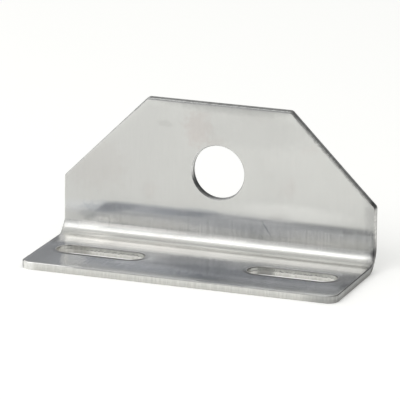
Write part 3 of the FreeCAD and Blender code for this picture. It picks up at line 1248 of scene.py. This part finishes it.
    def dark_fringe(self, graph: SheetGraph, along: Socket, across: Socket) -> Socket:
        """Draw the dark, broken fringe round the slots and along the leg's right edges.

        Args:
            graph: The material's tree.
            along: Place along the fold.
            across: Place across the fold.

        Returns:
            The fringe's strength.
        """
        flange = graph.ramp(across, *self.dark_fringe_bend, 1.0, 0.0)
        leg = graph.ramp(across, *self.dark_fringe_bend)
        broken = graph.pattern(graph.place, self.dark_fringe_gaps)
        near = graph.times(graph.ramp(across, *self.slots_behind),
                           graph.ramp(along, *self.slots_left))
        slots = graph.times(graph.ramp(graph.opening, *self.slot_fringe), near)
        right = graph.times(graph.ramp(along, *self.fringe_from),
                            graph.ramp(across, *self.fringe_top))
        reach = self.between(graph, broken, self.fringe_reach)
        edges = graph.times(graph.ramp(graph.edge, self.fringe_start, reach, 1.0, 0.0), right)
        faint_stretch = self.stripe(graph, across, self.faint_fringe, fade=3.0)
        edges = graph.times(graph.times(edges, leg), broken)
        edges = graph.times(edges, self.between(graph, faint_stretch, self.fringe_share))
        both = graph.line(slots, flange, edges)
        return graph.math("MULTIPLY", both, self.dark_fringe_share, clamp=True)


@dataclass(frozen=True)
class CutWall(Finish):
    """A cut edge: a burnished zone under the punched side, and a torn zone below it."""

    torn_tone: Tone
    rim_tone: float
    lower_rim_darkening: float = 1.0
    ragged: float = 0.14
    burnish_from: float = 0.5
    border_blur: float = 0.08
    roughness: float = 0.28
    torn_roughness: float = 0.5
    drag_roughness: float = 0.12
    lines_per_mm: float = 1.4
    down_per_mm: float = 0.12
    drag: Pattern = Pattern(1.0, 3.0, 0.65, (0.3, 0.7))
    contrast: float = 0.12
    relief: float = 0.000004
    seam: float = 0.0
    seam_width: Pair = (0.03, 0.10)
    seam_tone: Tone = (0.12, 0.12, 0.12)
    seam_gaps: Pattern = Pattern(1.5, 3.0, 0.6, (0.42, 0.56, 0.2, 1.0))
    lower_part: Pair = (0.1, 0.5)
    lower_shade: float = 1.0

    def dress(self, graph: SheetGraph, shader: bpy.types.Node) -> None:
        """Draw the drag lines across the wall and the ragged border of its two zones.

        Args:
            graph: The material's tree.
            shader: The material's shader.
        """
        place, level = graph.place, graph.level
        per_mm = (self.lines_per_mm, self.lines_per_mm, self.down_per_mm)
        drag = graph.pattern(graph.vector("MULTIPLY", place, per_mm), self.drag)
        ragged = graph.line(drag, self.ragged, level)
        border = self.burnish_from + self.ragged / 2
        torn = graph.ramp(ragged, border - self.border_blur, border + self.border_blur, 1.0, 0.0)
        amount = graph.ramp(level, *MIDDLE, self.lower_rim_darkening, 1.0)
        dark_rim = RimDarkening.on(graph, rim=graph.rim, place=place, amount=amount)["mask"]
        color = graph.mix(torn, self.tone, self.torn_tone)
        away = graph.math("ABSOLUTE", graph.less(ragged, border))
        crumbs = graph.pattern(place, self.seam_gaps)
        seam = graph.times(graph.ramp(away, *self.seam_width, self.seam, 0.0), crumbs)
        color = graph.mix(seam, color, self.seam_tone)
        color = self.marked(graph, graph.mix(dark_rim, color, (self.rim_tone,) * 3))
        shade = graph.ramp(drag, 0.0, 1.0, 1.0 - self.contrast, 1.0 + self.contrast)
        shade = graph.times(shade, graph.ramp(level, *self.lower_part, self.lower_shade, 1.0))
        graph.feed(shader.inputs["Base Color"], graph.scaled(color, shade))
        rough = graph.ramp(torn, 0.0, 1.0, self.roughness, self.torn_roughness)
        graph.feed(shader.inputs["Roughness"], graph.line(drag, self.drag_roughness, rough))
        self.emboss(graph, shader, drag, self.relief)


def sheet_finishes() -> list[bpy.types.Material]:
    """Make the bracket's materials.

    Returns:
        The materials, in the order of the zones.
    """
    finishes = {
        Zone.ROLLED: RolledFace("rolled_stainless", (0.635, 0.635, 0.615), FACE_MARKS),
        Zone.SLIT_EDGE: CutWall(
            "slit_edge", (0.665, 0.66, 0.635), SLIT_EDGE_MARKS, torn_tone=(0.65, 0.645, 0.615),
            rim_tone=0.26, lower_rim_darkening=0.12, contrast=0.07),
        # Painted shade: the same cut steel as the slit edge, made much darker.
        Zone.SHEARED_EDGE: CutWall(
            "sheared_edge", (0.275, 0.275, 0.27), SHEARED_EDGE_MARKS, torn_tone=(0.31, 0.31, 0.30),
            rim_tone=0.255, torn_roughness=0.52, lower_rim_darkening=0.5, ragged=0.22, contrast=0.20),
        # Painted shade: the hole's wall darkened as if in shade, lighter where its marks paint
        # light.
        Zone.HOLE_WALL: CutWall(
            "hole_wall", (0.24, 0.24, 0.23), HOLE_WALL_MARKS, torn_tone=(0.12, 0.12, 0.12),
            rim_tone=0.20, burnish_from=0.7),
        # Painted light: the slots' torn lower walls made pale as if lit from below, with painted
        # shade along their bottom.
        Zone.SLOT_WALL: CutWall(
            "slot_wall", (0.52, 0.52, 0.50), SLOT_WALL_MARKS, torn_tone=(0.82, 0.81, 0.78),
            rim_tone=0.16, lower_rim_darkening=0.0, burnish_from=0.54, ragged=0.16, lines_per_mm=2.4,
            seam=0.75, lower_shade=0.80),
    }
    return [finishes[zone].build() for zone in Zone]


@dataclass(frozen=True)
class Aimed:
    """A camera or a lamp that faces the object from a distance in metres.

    Its azimuth runs from straight in front of the flange towards +X, in degrees.
    """

    azimuth: float
    elevation: float
    distance: float

    def outwards(self) -> Vector:
        """Direction from the object towards the camera or the lamp."""
        turn, rise = math.radians(self.azimuth), math.radians(self.elevation)
        return Vector((math.sin(turn) * math.cos(rise), -math.cos(turn) * math.cos(rise),
                       math.sin(rise)))

    def stand(self, data: bpy.types.ID, target: Vector, roll: float = 0.0) -> bpy.types.Object:
        """Put the camera or the lamp in its place.

        Args:
            data: The camera's or the lamp's own data.
            target: The point that it faces.
            roll: Degrees by which it is turned about its line of sight.

        Returns:
            Its object.
        """
        item = bpy.data.objects.new(data.name, data)
        item.location = target + self.outwards() * self.distance
        item.rotation_mode = "QUATERNION"
        turn = (-self.outwards()).to_track_quat("-Z", "Y")
        item.rotation_quaternion = turn @ Quaternion((0.0, 0.0, 1.0), math.radians(roll))
        bpy.context.scene.collection.objects.link(item)
        return item


@dataclass(frozen=True)
class PhotoCamera(Aimed):
    """A camera that stands where the photograph was taken from."""

    azimuth: float = 19.96
    elevation: float = 15.5
    distance: float = 1.62
    roll: float = 0.65
    pixels_per_metre: float = 2778.0
    frame_pixels: float = 400.0
    sensor: float = 36.0
    clip: Pair = (0.05, 20.0)
    aim: Point = (0.0, 5.25 * MM, 25.0 * MM)
    aim_pixel: Pair = (203.6, 198.9)

    def build(self) -> None:
        """Make the camera and set it as the scene's own."""
        azimuth = math.radians(self.azimuth)
        right = Vector((math.cos(azimuth), math.sin(azimuth), 0.0))
        up = self.outwards().cross(right)
        middle = self.frame_pixels / 2
        aside = (middle - self.aim_pixel[0]) / self.pixels_per_metre
        above = (self.aim_pixel[1] - middle) / self.pixels_per_metre
        target = Vector(self.aim) + right * aside + up * above
        data = bpy.data.cameras.new("camera")
        data.sensor_width = self.sensor
        data.lens = self.pixels_per_metre * self.distance / self.frame_pixels * self.sensor
        data.clip_start, data.clip_end = self.clip
        bpy.context.scene.camera = self.stand(data, target, self.roll)


@dataclass(frozen=True)
class Softbox(Aimed):
    """A plain rectangular lamp."""

    width: float
    height: float
    radiance: float

    def build(self, name: str, target: Vector) -> None:
        """Make the lamp.

        Args:
            name: The lamp's name.
            target: The point that the lamp faces.
        """
        data = bpy.data.lights.new(name, "AREA")
        data.shape = "RECTANGLE"
        data.size, data.size_y = self.width, self.height
        data.energy = self.radiance * math.pi * self.width * self.height
        self.stand(data, target)


@dataclass(frozen=True)
class Surroundings:
    """The light of the room, by direction: its light and dark side, and its top."""

    light: Tone = (0.40, 0.41, 0.42)
    dark: Tone = (0.16, 0.16, 0.17)
    dark_side: Point = (0.90, 0.43, 0.0)
    turn: Pair = (-0.1, 0.6)
    top: Tone = (0.92, 0.92, 0.90)
    rise: Pair = (0.25, 0.95)

    def build(self) -> None:
        """Make the world and set it as the scene's own."""
        world = bpy.data.worlds.new("room")
        world.use_nodes = True
        graph = Graph(world.node_tree)
        way = graph.node("TexCoord").outputs["Generated"]
        sides = {0: way, 1: self.dark_side}
        towards_dark = graph.node("VectorMath", sides, operation="DOT_PRODUCT").outputs["Value"]
        share = graph.ramp(towards_dark, *self.turn)
        rise = graph.node("SeparateXYZ", {"Vector": way}).outputs["Z"]
        color = graph.mix(graph.ramp(rise, *self.rise), graph.mix(share, self.light, self.dark),
                          self.top)
        ground = world.node_tree.nodes["Background"]
        graph.feed(ground.inputs["Color"], color)
        ground.inputs["Strength"].default_value = 1.0
        bpy.context.scene.world = world


@dataclass(frozen=True)
class Studio:
    """Floor, surroundings and lamps."""

    floor_tone: Tone = (0.95, 0.95, 0.935)
    floor_lift: float = 0.20
    floor_reach: float = 3.5
    target: Point = (0.0, 0.0, 20.0 * MM)
    surroundings: Surroundings = Surroundings()
    softboxes: tuple[tuple[str, Softbox], ...] = (
        ("front_softbox", Softbox(-25.0, 45.2, 1.5, 1.3, 0.706, 2.0)),
        ("shoulder_card", Softbox(-25.0, 27.0, 1.5, 1.3, 0.262, 0.40)),
        ("low_card", Softbox(-41.0, 17.0, 0.62, 0.42, 0.26, 0.30)),
        ("side_softbox", Softbox(-86.0, 22.0, 1.3, 0.8, 0.8, 0.55)),
    )

    def build(self) -> None:
        """Lay the floor and light it."""
        bm = bmesh.new()
        bmesh.ops.create_grid(bm, x_segments=1, y_segments=1, size=self.floor_reach)
        mesh = bpy.data.meshes.new("floor")
        bm.to_mesh(mesh)
        bm.free()
        mesh.materials.append(self.floor_finish())
        floor = bpy.data.objects.new("floor", mesh)
        bpy.context.scene.collection.objects.link(floor)
        self.surroundings.build()
        for name, softbox in self.softboxes:
            softbox.build(name, Vector(self.target))

    def floor_finish(self) -> bpy.types.Material:
        """Make the floor's matt finish, which is nearly white where it is seen or mirrored.

        Returns:
            The material.
        """
        material = bpy.data.materials.new("floor")
        material.use_nodes = True
        graph = Graph(material.node_tree)
        inputs = material.node_tree.nodes["Principled BSDF"].inputs
        rays = graph.node("LightPath").outputs
        mirrored = graph.math("MAXIMUM", rays["Is Glossy Ray"], rays["Is Transmission Ray"])
        seen = graph.math("MAXIMUM", rays["Is Camera Ray"], mirrored)
        graph.feed(inputs["Emission Strength"], graph.times(seen, self.floor_lift))
        inputs["Emission Color"].default_value = (1.0, 1.0, 1.0, 1.0)
        inputs["Base Color"].default_value = (*self.floor_tone, 1.0)
        inputs["Roughness"].default_value = 1.0
        inputs["Specular IOR Level"].default_value = 0.0
        return material


def main() -> None:
    """Build the bracket, its finishes and the studio in order."""
    logging.basicConfig(level=logging.INFO)
    bpy.context.scene.view_settings.view_transform = "Standard"
    sheet = FoldedSheet(SheetSizes.from_frame()).build(sheet_finishes())
    log.info("%s: %d faces", sheet.name, len(sheet.data.polygons))
    Studio().build()
    PhotoCamera().build()


if __name__ == "__main__":
    main()
